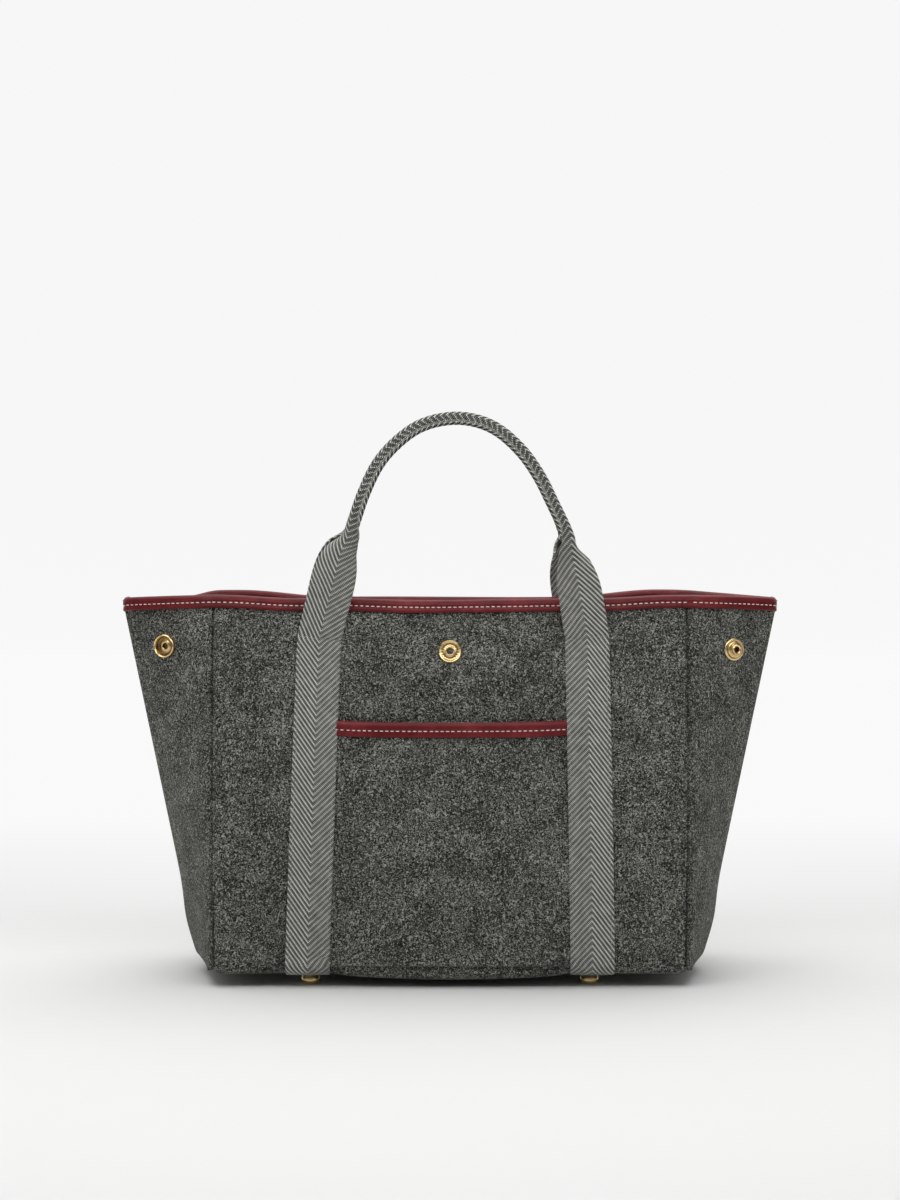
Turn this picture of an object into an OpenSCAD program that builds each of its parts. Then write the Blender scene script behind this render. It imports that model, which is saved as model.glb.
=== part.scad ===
// Wool tote bag for knitting: two leaning walls, two folded gussets, a stiffened base on four feet,
// webbing straps that turn into rounded handles, a patch pocket, and snap fasteners.
// Millimetres, +Z up. The pocket side faces -Y. The origin is the middle of the footprint,
// on the floor.

/* [Body] */
// Width of the front and back walls, from seam to seam
wall_w = 270; // [240:1:300]
// Width of a gusset laid flat, which is also the depth of the base
gusset_w = 125; // [120:1:135]
// Height of the mouth above the floor, at the corners
mouth_h = 220; // [200:1:222]
// Height of the base's underside above the floor
base_lift = 8.5; // [7.5:0.5:11]
// How much lower the mouth is at the gussets' folds
fold_dip = 3.4; // [0:0.1:6]
// How far a gusset's fold stands out from the seams, carried down to the floor
fold_out = 10; // [8:0.5:11]
// How much further the fold stands out for each millimetre of height
fold_slope = 0.205; // [0.18:0.001:0.215]

/* [Cloth and leather] */
// Thickness of the wool cloth
wool_t = 2.5; // [1.5:0.1:3]
// Thickness of the lining
lining_t = 0.6; // [0.4:0.1:1]
// Thickness of the leather binding
leather_t = 1.2; // [0.8:0.1:1.6]
// Height of the binding on a bound edge
binding_h = 8.3; // [6:0.1:12]
// Thickness of the board in the base
board_t = 2; // [1:0.5:3]

/* [Straps and handles] */
// Width of the webbing
web_w = 25; // [20:1:30]
// Thickness of the webbing
web_t = 1.8; // [1.2:0.1:2.4]
// Distance of a strap's middle from the bag's middle, at the base
strap_x = 80; // [74:1:86]
// The same distance at the stitch line where the handle begins
strap_top_x = 76.4; // [72:0.1:84]
// Height of the stitch line where the handle begins
stitch_z = 195.5; // [180:0.5:197]
// Height of the middle of the grip at its top
grip_z = 321; // [300:1:340]
// Radius of the grip's tube
grip_r = 4.2; // [3.8:0.1:5]
// Radius of the grip's bend
bend_r = 56; // [52:1:60]
// How far each handle leans outwards, in degrees
handle_lean = 3; // [0:0.5:6]

/* [Pocket] */
// Height of the pocket's mouth above the floor
pocket_top = 150; // [130:1:165]
// Slack of the pocket's mouth at its middle
pocket_slack = 9.7; // [9:0.1:11]

/* [Snaps and feet] */
// Radius of a snap's flange
snap_r = 6.6; // [5.5:0.1:7.5]
// Height of the middle snap
snap_z = 188; // [175:1:192]
// Height of the gussets' snaps
side_snap_z = 189; // [175:1:192]
// Where a side snap sits between the fold, 0, and the seam, 1
side_snap_u = 0.44; // [0.38:0.01:0.5]
// Radius of a foot
foot_r = 5.3; // [4.5:0.1:7]
// Distance of the feet from the bag's middle, front to back
foot_y = 45; // [35:1:50]

/* [Hidden] */
$fn = 64;

wool_colour = [0.26, 0.26, 0.25];
lining_colour = [0.35, 0.34, 0.33];
leather_colour = [0.42, 0.14, 0.16];
web_colour = [0.48, 0.48, 0.45];
gold_colour = [0.85, 0.7, 0.42];

half_w = wall_w / 2;
half_d = gusset_w / 2;
joint_gap = 0.3;                          // between pieces that move past each other
lie_gap = 0.2;                            // between two cloths sewn flat on each other
web_gap = 0.2;                            // between a strap and the cloth under it
snap_gap = 0.2;                           // between a snap's flat flange and the curved cloth
hem_gap = 0.4;                            // room for a wall's bottom edge to turn in
corner_r = 5.5;                           // rounding at the foot of a gusset's fold
cloth_t = wool_t + lining_t;              // wool and lining together
panel_top = base_lift + wool_t;           // top of the base's wool
strap_z = base_lift + 3.8;                // where a strap leaves the base and joins a wall
edge_top = mouth_h - leather_t - 0.1;     // raw top edge of a wall under its binding
shank_r = 2;                              // a snap's tubular rivet
shank_bore_r = 2.1;
foot_pin_r = 1.6;
foot_bore_r = 1.7;
pocket_half = 73;                         // the pocket's edges lie under the straps
slack_half = 64;                          // the pocket is slack only between the straps
pocket_z = 12.5;                          // the pocket's bottom seam
pocket_wool_t = wool_t - 0.2;
panel_inset = 4.2;                        // the base's wool stops inside the walls' turned edges
board_inset = 5.8;
base_lining_inset = 6;
end_inset = 9;                            // board and lining stop short of the gussets' folds
gusset_across = steps(-1, 1, 12);

// How far the gusset's fold stands out from the seams at height z.
function fold_x(z) =
    let (t = min(1, max(0, (base_lift + corner_r - z) / corner_r)))
    fold_out + fold_slope * max(z, base_lift + corner_r) - corner_r * (1 - sqrt(1 - t * t));

// Distance of a wall's outer face from the bag's middle: the gusset keeps its flat width.
function wall_y(z) = sqrt(half_d * half_d - fold_x(z) * fold_x(z));

// Lean of a wall towards the bag's middle, in degrees. Below the corner's rounding it stays the same.
function wall_lean(z) =
    let (h = max(z, base_lift + corner_r + 0.5))
    atan2(wall_y(h - 0.5) - wall_y(h + 0.5), 1);

// A point d outside a wall's outer face, as [distance from the middle, height].
function wall_point(z, d) =
    [wall_y(z) + d * cos(wall_lean(z)), z + d * sin(wall_lean(z))];

function steps(from, to, n) = [for (i = [0:n]) from + (to - from) * i / n];
function reversed(list) = [for (i = [len(list) - 1:-1:0]) list[i]];

// A point of the right gusset: u is -1 at the front seam, 0 at the fold and 1 at the back seam,
// and t is the depth under the outer face.
function gusset_point(u, z, t) =
    let (seam = wall_y(z) - t * half_d / fold_x(z), fold = fold_x(z) - t * half_d / wall_y(z))
    [half_w + fold * (1 - abs(u)), u * seam, z];

// Height of a gusset's bound edge: lowest at its fold.
function gusset_top(u, z) = z - fold_dip * (1 - abs(u));

// Outward normal of the right gusset's front half.
function gusset_normal(u, z) =
    let (
        up = gusset_point(u, z + 0.5, 0) - gusset_point(u, z - 0.5, 0),
        along = gusset_point(u + 0.01, z, 0) - gusset_point(u - 0.01, z, 0),
        n = cross(along, up)
    )
    n / norm(n);

// Slack of the pocket: most at the middle of its mouth, none at its sides and bottom.
function pocket_gap(x, z) =
    lie_gap + pocket_slack * max(0, 1 - pow(abs(x) / slack_half, 6))
        * pow((z - pocket_z) / (pocket_top - pocket_z), 3);

function pocket_point(x, z, d) = [x, wall_y(z) + pocket_gap(x, z) + d, z];

// Closed sheet between two grids of points, each a list of rows of equal length.
module thick_sheet(outer, inner) {
    rows = len(outer);
    cols = len(outer[0]);
    back = rows * cols;
    points = [for (grid = [outer, inner], row = grid, p = row) p];
    sides = [for (r = [0:rows - 2], c = [0:cols - 2])
        let (a = r * cols + c, b = a + 1, d = a + cols, e = d + 1)
            each [[a, d, b], [b, d, e], [back + a, back + b, back + d], [back + b, back + e, back + d]]];
    ends = [for (r = [0:rows - 2], c = [0, cols - 1])
        let (a = r * cols + c, b = a + cols)
            each c == 0 ? [[a, back + a, b], [b, back + a, back + b]]
                        : [[a, b, back + a], [b, back + b, back + a]]];
    hems = [for (r = [0, rows - 1], c = [0:cols - 2])
        let (a = r * cols + c, b = a + 1)
            each r == 0 ? [[a, b, back + a], [b, back + b, back + a]]
                        : [[a, back + a, b], [b, back + a, back + b]]];
    polyhedron(points, concat(sides, ends, hems));
}

module front_side() mirror([0, 1, 0]) children();
module left_side() mirror([1, 0, 0]) children();

// A strip that follows the back wall, between depths d0 and d1 outside its face.
module wall_strip(z0, z1, d0, d1, width) {
    heights = steps(z0, z1, ceil((z1 - z0) / 5));
    rotate([90, 0, 90])
        translate([0, 0, -width / 2])
            linear_extrude(width)
                polygon(concat(
                    [for (z = heights) wall_point(z, d0)],
                    [for (z = reversed(heights)) wall_point(z, d1)]
                ));
}

// Puts a child on the back wall, d outside its face, with +Z pointing out of the bag.
module on_wall(z, d) {
    p = wall_point(z, d);
    translate([0, p[0], p[1]]) rotate([wall_lean(z) - 90, 0, 0]) children();
}

// Puts a child on the right gusset's front half, at depth t, with +Z pointing out of the bag.
module on_gusset(t) {
    n = gusset_normal(-side_snap_u, side_snap_z);
    translate(gusset_point(-side_snap_u, side_snap_z, 0) - t * n)
        rotate([0, acos(n[2]), atan2(n[1], n[0])])
            children();
}

// ---- Base ----

module base_outline(half_y, inset) {
    tip = half_w + fold_x(panel_top) - inset;
    polygon([[-half_w + inset, -half_y], [half_w - inset, -half_y], [tip, 0],
             [half_w - inset, half_y], [-half_w + inset, half_y], [-tip, 0]]);
}

module at_feet() {
    for (side = [-1, 1], end = [-1, 1])
        translate([side * (strap_x - 1), end * foot_y, 0]) children();
}

module base_panel() {
    color(wool_colour)
        difference() {
            translate([0, 0, base_lift]) linear_extrude(wool_t) base_outline(half_d - panel_inset, 0);
            at_feet() translate([0, 0, base_lift - 1]) cylinder(r = foot_bore_r, h = wool_t + 2);
        }
}

module base_board() {
    color("tan")
        difference() {
            translate([0, 0, panel_top])
                linear_extrude(board_t)
                    base_outline(half_d - board_inset, end_inset);
            at_feet() translate([0, 0, panel_top - 1]) cylinder(r = foot_r, h = 1.8);
        }
}

module base_lining() {
    color(lining_colour)
        translate([0, 0, panel_top + board_t])
            linear_extrude(lining_t)
                base_outline(half_d - base_lining_inset, end_inset);
}

// Webbing under the base, turned up at both ends to meet the straps on the walls.
module right_base_strap() {
    reach = half_d + 3.4;
    under = base_lift - web_t - 0.1;
    color(web_colour)
        difference() {
            union() {
                translate([strap_x - web_w / 2, -reach, under]) cube([web_w, 2 * reach, web_t]);
                for (end = [-reach, reach - web_t])
                    translate([strap_x - web_w / 2, end, under])
                        cube([web_w, web_t, strap_z - 0.4 - under]);
            }
            at_feet() translate([0, 0, under - 1]) cylinder(r = foot_bore_r, h = web_t + 2);
        }
}

module left_base_strap() left_side() right_base_strap();

// Turned metal foot with a flat sole, and the pin that goes up through the cloth.
module foot() {
    top = base_lift - web_t - 0.1;
    color(gold_colour)
        union() {
            rotate_extrude()
                polygon([[0, 0], [foot_r - 1.6, 0], [foot_r - 0.6, 0.4], [foot_r, 1.6],
                         [foot_r, 3.2], [foot_r - 0.6, 4.4], [foot_r - 1.6, top], [0, top]]);
            cylinder(r = foot_pin_r, h = panel_top + 0.7);
        }
}

module front_left_foot() translate([1 - strap_x, -foot_y, 0]) foot();
module front_right_foot() translate([strap_x - 1, -foot_y, 0]) foot();
module back_left_foot() translate([1 - strap_x, foot_y, 0]) foot();
module back_right_foot() translate([strap_x - 1, foot_y, 0]) foot();

module foot_washers() {
    color(gold_colour)
        at_feet() translate([0, 0, panel_top])
            difference() {
                cylinder(r = foot_r - 0.5, h = 0.7);
                translate([0, 0, -1]) cylinder(r = foot_bore_r, h = 3);
            }
}

// ---- Gussets ----

module gusset_sheet(z0, z1, t0, t1) {
    rows = steps(z0, z1, ceil((z1 - z0) / 7));
    thick_sheet(
        [for (z = rows) [for (u = gusset_across) gusset_point(u, z - dip(u, z, z0, z1), t0)]],
        [for (z = rows) [for (u = gusset_across) gusset_point(u, z - dip(u, z, z0, z1), t1)]]
    );
}

// A strip along the gusset's bound edge, between depths t0 and t1. A spread past 1 runs out of the seams.
module rim_sheet(z0, z1, t0, t1, spread = 1) {
    rows = steps(z0, z1, 3);
    thick_sheet(
        [for (z = rows) [for (u = gusset_across * spread) gusset_point(u, gusset_top(u, z), t0)]],
        [for (z = rows) [for (u = gusset_across * spread) gusset_point(u, gusset_top(u, z), t1)]]
    );
}

// The dip at the fold grows from nothing at z0 to its full depth at z1.
function dip(u, z, z0, z1) = (z - gusset_top(u, z)) * (z - z0) / (z1 - z0);

module right_gusset() {
    color(wool_colour)
        difference() {
            gusset_sheet(panel_top, edge_top, 0, wool_t);
            gusset_bores();
        }
}

module right_gusset_lining() {
    color(lining_colour)
        difference() {
            gusset_sheet(panel_top, edge_top, wool_t + 0.05, cloth_t);
            gusset_bores();
        }
}

module gusset_bores() {
    for (end = [0, 1]) mirror([0, end, 0])
        on_gusset(cloth_t + 3) cylinder(r = shank_bore_r, h = cloth_t + 6);
}

module left_gusset() left_side() right_gusset();
module left_gusset_lining() left_side() right_gusset_lining();

// Leather folded over the gusset's top edge: two leaves and the fold between them.
module right_gusset_binding() {
    z0 = mouth_h - binding_h;
    slot = snap_gap;
    color(leather_colour)
        difference() {
            rim_sheet(z0, mouth_h, -leather_t - slot, cloth_t + leather_t + slot);
            rim_sheet(z0 - 2, edge_top + 0.1, -slot, cloth_t + slot, 1.1);
        }
}

module left_gusset_binding() left_side() right_gusset_binding();

// ---- Snap fasteners ----

// Dished flange with a raised inner ring round its hole, and the shank behind it.
module snap_post() {
    color(gold_colour)
        rotate_extrude()
            polygon([[1.4, -cloth_t - 0.9], [shank_r, -cloth_t - 0.9], [shank_r, 0.05],
                     [snap_r, 0.05], [snap_r, 0.75], [snap_r - 0.7, 1.35], [snap_r - 1.6, 0.9],
                     [3.4, 0.75], [2.6, 1.25], [1.7, 0.9], [1.4, 0.4]]);
}

// Stepped stud that the socket snaps over.
module snap_stud() {
    color(gold_colour)
        rotate_extrude()
            polygon([[shank_bore_r, 0.05], [snap_r - 0.8, 0.05], [snap_r - 0.3, 0.7],
                     [snap_r - 1.2, 1.2], [3.3, 1.1], [3.1, 2.2], [3.5, 3.2], [3.0, 3.8],
                     [shank_bore_r + 0.3, 3.8], [shank_bore_r, 3.2]]);
}

// Socket: a recessed cup with a rolled rim.
module snap_socket() {
    color(gold_colour)
        rotate_extrude()
            polygon([[shank_bore_r, 0.05], [snap_r - 0.5, 0.05], [snap_r, 1.2], [snap_r - 0.5, 3.2],
                     [snap_r - 1.3, 3.8], [4.3, 3.5], [4.1, 1.2], [shank_bore_r, 1.0]]);
}

module gusset_post() on_gusset(cloth_t + snap_gap) mirror([0, 0, 1]) snap_post();

module right_front_gusset_stud() on_gusset(-snap_gap) snap_stud();
module right_front_gusset_post() gusset_post();
module right_back_gusset_socket() mirror([0, 1, 0]) on_gusset(-snap_gap) snap_socket();
module right_back_gusset_post() mirror([0, 1, 0]) gusset_post();
module left_front_gusset_socket() left_side() on_gusset(-snap_gap) snap_socket();
module left_front_gusset_post() left_side() gusset_post();
module left_back_gusset_stud() left_side() mirror([0, 1, 0]) on_gusset(-snap_gap) snap_stud();
module left_back_gusset_post() left_side() mirror([0, 1, 0]) gusset_post();

// ---- Walls ----

module panel() {
    color(wool_colour)
        difference() {
            wall_strip(base_lift + hem_gap, edge_top, -wool_t, 0, wall_w - 2 * joint_gap);
            snap_bore();
        }
}

module lining() {
    color(lining_colour)
        difference() {
            wall_strip(panel_top + board_t + 1, edge_top, -cloth_t, -wool_t - 0.05,
                       wall_w - 2 * joint_gap);
            snap_bore();
        }
}

module snap_bore() on_wall(snap_z, -cloth_t - 3) cylinder(r = shank_bore_r, h = cloth_t + 6);

module binding() {
    top = mouth_h - binding_h;
    color(leather_colour)
        difference() {
            wall_strip(top, mouth_h, -cloth_t - leather_t - 0.1, leather_t + 0.1,
                       wall_w - 2 * joint_gap);
            wall_strip(top - 2, edge_top + 0.1, -cloth_t - 0.1, 0.1, wall_w + 2);
        }
}

// The strap's own strip, turned so that its top stands nearer the bag's middle.
module tilted_strip(top, d1) {
    tilt = atan((strap_x - strap_top_x) / (stitch_z - strap_z));
    translate([strap_x, 0, strap_z]) rotate([0, -tilt, 0]) translate([0, 0, -strap_z])
        wall_strip(strap_z, top, web_gap, d1, web_w);
}

// A strap sewn on the right of the back wall. On the front wall it steps over the pocket's edge.
module strap(over_pocket) {
    step_half = pocket_half + 0.25;
    step_t = lie_gap + pocket_wool_t + 0.4;
    color(web_colour)
        difference() {
            union() {
                tilted_strip(stitch_z, web_gap + web_t);
                if (over_pocket)
                    intersection() {
                        tilted_strip(pocket_top + 2, step_t + web_t);
                        wall_strip(strap_z - 2, pocket_top + 6, 0, step_t + web_t + 2,
                                   2 * (step_half + web_t));
                    }
            }
            if (over_pocket)
                wall_strip(strap_z - 2, pocket_top + 0.5, -1, step_t, 2 * step_half);
        }
}

module front_panel() front_side() panel();
module front_lining() front_side() lining();
module front_binding() front_side() binding();
module front_right_strap() front_side() strap(true);
module front_left_strap() left_side() front_right_strap();
module front_snap_post() front_side() on_wall(snap_z, 0) snap_post();
module front_snap_stud() front_side() on_wall(snap_z, -cloth_t - snap_gap) mirror([0, 0, 1]) snap_stud();
module back_panel() panel();
module back_lining() lining();
module back_binding() binding();
module back_right_strap() strap(false);
module back_left_strap() left_side() strap(false);
module back_snap_post() on_wall(snap_z, 0) snap_post();
module back_snap_socket() on_wall(snap_z, -cloth_t - snap_gap) mirror([0, 0, 1]) snap_socket();

// ---- Pocket ----

module pocket_sheet(z0, z1, d0, d1) {
    rows = steps(z0, z1, ceil((z1 - z0) / 6));
    across = steps(pocket_half, -pocket_half, 32);
    thick_sheet(
        [for (z = rows) [for (x = across) pocket_point(x, z, d1)]],
        [for (z = rows) [for (x = across) pocket_point(x, z, d0)]]
    );
}

module front_pocket() {
    color(wool_colour)
        front_side() pocket_sheet(pocket_z, pocket_top - leather_t - 0.2, 0, pocket_wool_t);
}

// Leather folded over the pocket's edge, from strap to strap.
module pocket_binding() {
    z0 = pocket_top - binding_h - 0.4;
    length = 2 * (strap_top_x - web_w / 2 + 0.4);
    color(leather_colour)
        front_side() difference() {
            intersection() {
                pocket_sheet(z0, pocket_top, -leather_t - lie_gap, pocket_wool_t + leather_t + lie_gap);
                translate([-length / 2, 0, z0 - 1]) cube([length, gusset_w, binding_h + 3]);
            }
            pocket_sheet(z0 - 1, pocket_top - leather_t, -lie_gap, pocket_wool_t + lie_gap);
            wall_strip(z0 - 2, pocket_top + 2, -wool_t, lie_gap, wall_w);
        }
}

// ---- Handles ----

// The handle's own plane: the origin is on the stitch line, +Z runs up the handle.
module handle_plane() {
    p = wall_point(stitch_z, web_t + 0.25);
    translate([0, p[0], p[1]]) rotate([-handle_lean, 0, 0]) children();
}

bend_half = 97;                                       // half the angle of the grip's bend
bend_s = grip_z - stitch_z - bend_r;                  // height of the bend's centre in that plane
flat_s = 36;                                          // where the webbing is flat again
flat_x = 68;
flat_w = 23;
flare_turn = 2;                                       // the flare starts this far inside the bend's end
core_turn = 3;                                        // the cord stops this far inside it

// Sweeps a section along the grip's bend, from the left leg over the top to the right leg.
module along_bend(half_angle) {
    translate([0, 0, bend_s]) rotate([90, 0, 0]) rotate([0, 0, 90 - half_angle])
        rotate_extrude(angle = 2 * half_angle) translate([bend_r, 0]) children();
}

// The webbing's two edges meet in a narrow seam on the inside of the bend.
module grip_section() {
    difference() {
        circle(r = grip_r);
        circle(r = grip_r - web_t);
        translate([-grip_r, 0]) square([2 * grip_r, 0.5], center = true);
    }
}

module handle_webbing() {
    color(web_colour)
        handle_plane() union() {
            along_bend(bend_half) grip_section();
            for (side = [0, 1]) mirror([side, 0, 0]) {
                hull() {
                    translate([0, 0, bend_s]) rotate([0, bend_half - flare_turn, 0]) translate([0, 0, bend_r])
                        rotate([0, 90, 0]) cylinder(r = grip_r - 0.05, h = 0.4, $fn = 32);
                    translate([flat_x - flat_w / 2, -web_t, flat_s]) cube([flat_w, web_t, 0.4]);
                }
                rotate([90, 0, 0]) linear_extrude(web_t)
                    polygon([[strap_top_x - web_w / 2, joint_gap], [strap_top_x + web_w / 2, joint_gap],
                             [flat_x + flat_w / 2, flat_s + 0.2], [flat_x - flat_w / 2, flat_s + 0.2]]);
            }
        }
}

module handle_core()
    color("gainsboro") handle_plane() along_bend(bend_half - core_turn) circle(r = grip_r - web_t - 0.1);

module front_handle_webbing() front_side() handle_webbing();
module front_handle_core() front_side() handle_core();
module back_handle_webbing() handle_webbing();
module back_handle_core() handle_core();

base_panel();
base_board();
base_lining();
left_base_strap();
right_base_strap();
front_left_foot();
front_right_foot();
back_left_foot();
back_right_foot();
foot_washers();
left_gusset();
right_gusset();
left_gusset_lining();
right_gusset_lining();
left_gusset_binding();
right_gusset_binding();
left_front_gusset_socket();
right_front_gusset_stud();
left_back_gusset_stud();
right_back_gusset_socket();
left_front_gusset_post();
right_front_gusset_post();
left_back_gusset_post();
right_back_gusset_post();
front_panel();
front_lining();
front_binding();
front_pocket();
pocket_binding();
front_left_strap();
front_right_strap();
front_snap_post();
front_snap_stud();
back_panel();
back_lining();
back_binding();
back_left_strap();
back_right_strap();
back_snap_post();
back_snap_socket();
front_handle_webbing();
front_handle_core();
back_handle_webbing();
back_handle_core();
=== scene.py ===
import math
import bmesh
import bpy
import numpy as np
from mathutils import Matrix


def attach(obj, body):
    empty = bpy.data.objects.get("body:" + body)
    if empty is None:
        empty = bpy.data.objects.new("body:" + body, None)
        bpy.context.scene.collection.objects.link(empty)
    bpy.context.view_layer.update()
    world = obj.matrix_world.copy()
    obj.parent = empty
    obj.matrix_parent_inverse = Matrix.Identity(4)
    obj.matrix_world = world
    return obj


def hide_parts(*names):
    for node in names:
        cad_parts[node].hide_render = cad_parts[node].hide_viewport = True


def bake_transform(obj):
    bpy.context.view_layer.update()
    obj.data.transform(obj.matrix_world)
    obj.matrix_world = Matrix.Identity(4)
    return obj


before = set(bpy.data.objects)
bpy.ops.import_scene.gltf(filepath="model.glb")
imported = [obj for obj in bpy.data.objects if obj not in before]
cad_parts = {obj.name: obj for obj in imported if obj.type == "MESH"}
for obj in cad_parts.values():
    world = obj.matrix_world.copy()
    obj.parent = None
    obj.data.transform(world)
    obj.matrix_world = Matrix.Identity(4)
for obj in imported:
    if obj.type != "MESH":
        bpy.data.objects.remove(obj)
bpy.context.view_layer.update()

# ---- Wool walls ----
# Two panels of thick brushed wool flannel, front and back. Each is sewn to the gussets at its sides,
# turns under the base at the bottom, and leans in towards the mouth. Lengths here are in mm.

MM = 0.001
half_w = 135.0                    # seam to the bag's middle
half_d = 62.5                     # half a gusset laid flat
mouth_z = 220.0
bottom_z = 8.5
fold_out, fold_slope, fold_round = 10.0, 0.205, 5.5
wool_t, lining_t = 2.5, 0.6
seam_dip = 1.3                    # how deep the seams pull the cloth in
crease_dip, crease_w = 1.5, 1.4   # the sharp fold of the cloth right at a seam
# groove_w sets how wide the painted shade in a seam's groove is.
groove_w = 1.3                    # dark part of a seam's groove
seam_gap = 0.45                   # each cloth stops this far short of the seam's middle
binding_drop = 1.6                # the raw edge lies this far under the top of the binding
strap_x = 80.0


def smooth(t):
    t = np.clip(t, 0.0, 1.0)
    return t * t * (3 - 2 * t)


def fold_x(z):
    """How far a gusset's fold stands out from its seams at height z."""
    t = np.clip((bottom_z + fold_round - z) / fold_round, 0, 1)
    rise = fold_slope * np.maximum(z, bottom_z + fold_round)
    return fold_out + rise - fold_round * (1 - np.sqrt(1 - t * t))


def wall_y(z):
    """Distance of a wall's face from the bag's middle."""
    return np.sqrt(half_d**2 - fold_x(z) ** 2)


def wall_lean(z):
    return np.arctan(wall_y(z - 0.5) - wall_y(z + 0.5))


def hem_z(x):
    """Height of the lower edge: it sags between the straps and lifts at the corners."""
    a = np.abs(x)
    belly = 3.0 * np.clip(1 - (a / 66) ** 2, 0, 1) ** 0.7
    corner = np.clip((a - 128) / 7, 0, 1)
    lift = 7 * (1 - np.sqrt(1 - corner**2))
    return 7.4 + lift - belly + 1.5 * np.exp(-(((a - strap_x) / 11) ** 2))


def rim_z(x, side):
    """Height of the bound edge. side is -1 at the front and 1 at the back."""
    a = np.abs(x)
    sag = 0.95 * np.clip(1 - (a / 56) ** 2, 0, 1)
    front = mouth_z - 1.85 * (1 - smooth((a - 85) / 42)) - sag + 0.12 * np.sin(x / 13.0)
    back = mouth_z - 4.2 * (1 - smooth((a - 66) / 56)) - 0.2 * np.sin(x / 23.0)
    return np.where(side < 0, front, back)


def cloth_drift(x, z, side):
    """Slow unevenness of soft cloth, in mm."""
    a = 0.55 * np.sin(x / 31 + 1.3 + side) * np.sin(z / 47 + 0.5)
    b = 0.35 * np.sin(x / 17 - z / 29 + 2 * side) + 0.25 * np.sin(x / 43 + z / 13)
    c = 0.45 * np.sin(x / 11 + 0.6 * np.sin(z / 21)) * np.clip(z / 220, 0, 1) ** 2
    return a + b + 0.5 * c


def wall_push(x, z, side):
    """How far soft cloth stands off the plain wall: seams and straps pull it in."""
    a = np.abs(x)
    seam = -seam_dip * smooth((a - (half_w - 7)) / 7) ** 1.5
    seam = seam - crease_dip * np.exp(-(((half_w - a) / crease_w) ** 2))
    strap = -0.7 * np.exp(-(((a - 78) / 14) ** 2))
    belly = 1.4 * np.clip(1 - (a / 66) ** 2, 0, 1) * np.exp(-(((z - 16) / 16) ** 2))
    ease = smooth((half_w - a) / 12)
    return seam + strap + belly + cloth_drift(x, z, side) * ease


def wall_point(x, z, depth, side):
    """A point of the wall, depth mm under its outer face. side is -1 at the front, 1 at the back."""
    lean = wall_lean(z)
    out = wall_y(z) + wall_push(x, z, side)
    return np.stack([x + 0 * z, side * (out - depth * np.cos(lean)), z - depth * np.sin(lean)], -1)


def new_object(name, verts, faces, material, uv=None, closed=True, shade=None):
    """A smooth-shaded mesh object from points in mm. uv holds one pair of metres a vertex, and shade one
    number a vertex for the material's painted light: painted shade in a seam's groove on the wool, a
    painted highlight along the selvedges and painted shade on the webbing's grip, painted shade in the
    metal's hollows."""
    mesh = bpy.data.meshes.new(name)
    mesh.from_pydata((np.asarray(verts) * MM).tolist(), [], faces)
    if uv is not None:
        layer = mesh.uv_layers.new(name="cloth")
        index = np.empty(len(mesh.loops), int)
        mesh.loops.foreach_get("vertex_index", index)
        layer.data.foreach_set("uv", np.asarray(uv)[index].ravel())
    if shade is not None:
        mesh.attributes.new("shade", "FLOAT", "POINT").data.foreach_set("value", np.ravel(shade))
    if closed:
        work = bmesh.new()
        work.from_mesh(mesh)
        bmesh.ops.recalc_face_normals(work, faces=work.faces)
        work.to_mesh(mesh)
        work.free()
    mesh.polygons.foreach_set("use_smooth", [True] * len(mesh.polygons))
    mesh.set_sharp_from_angle(angle=math.radians(50))
    mesh.materials.append(material)
    obj = bpy.data.objects.new(name, mesh)
    bpy.context.scene.collection.objects.link(obj)
    return obj


def sheet_between(name, outer, inner, material, uv=None, shade=None):
    """Closed sheet between two grids of points, rows by columns."""
    rows, cols = outer.shape[:2]
    near = np.arange(rows * cols).reshape(rows, cols)
    far = near + rows * cols
    faces = []
    for grid, turn in ((near, 1), (far, -1)):
        quads = np.stack([grid[:-1, :-1], grid[:-1, 1:], grid[1:, 1:], grid[1:, :-1]], -1).reshape(-1, 4)
        faces += quads[:, ::turn].tolist()
    loop = [(0, c) for c in range(cols)] + [(r, cols - 1) for r in range(1, rows)]
    loop += [(rows - 1, c) for c in range(cols - 2, -1, -1)] + [(r, 0) for r in range(rows - 2, 0, -1)]
    for (r0, c0), (r1, c1) in zip(loop, loop[1:] + loop[:1]):
        faces.append([int(near[r0, c0]), int(far[r0, c0]), int(far[r1, c1]), int(near[r1, c1])])
    verts = np.concatenate([outer.reshape(-1, 3), inner.reshape(-1, 3)])
    pairs = None if uv is None else np.concatenate([uv.reshape(-1, 2)] * 2)
    both = None if shade is None else np.concatenate([np.ravel(shade)] * 2)
    return new_object(name, verts, faces, material, pairs, shade=both)


def seam_shade(distance):
    """Shade of the seam's groove at a distance in mm from it."""
    return np.exp(-((np.maximum(distance, 0) / groove_w) ** 2))


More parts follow.
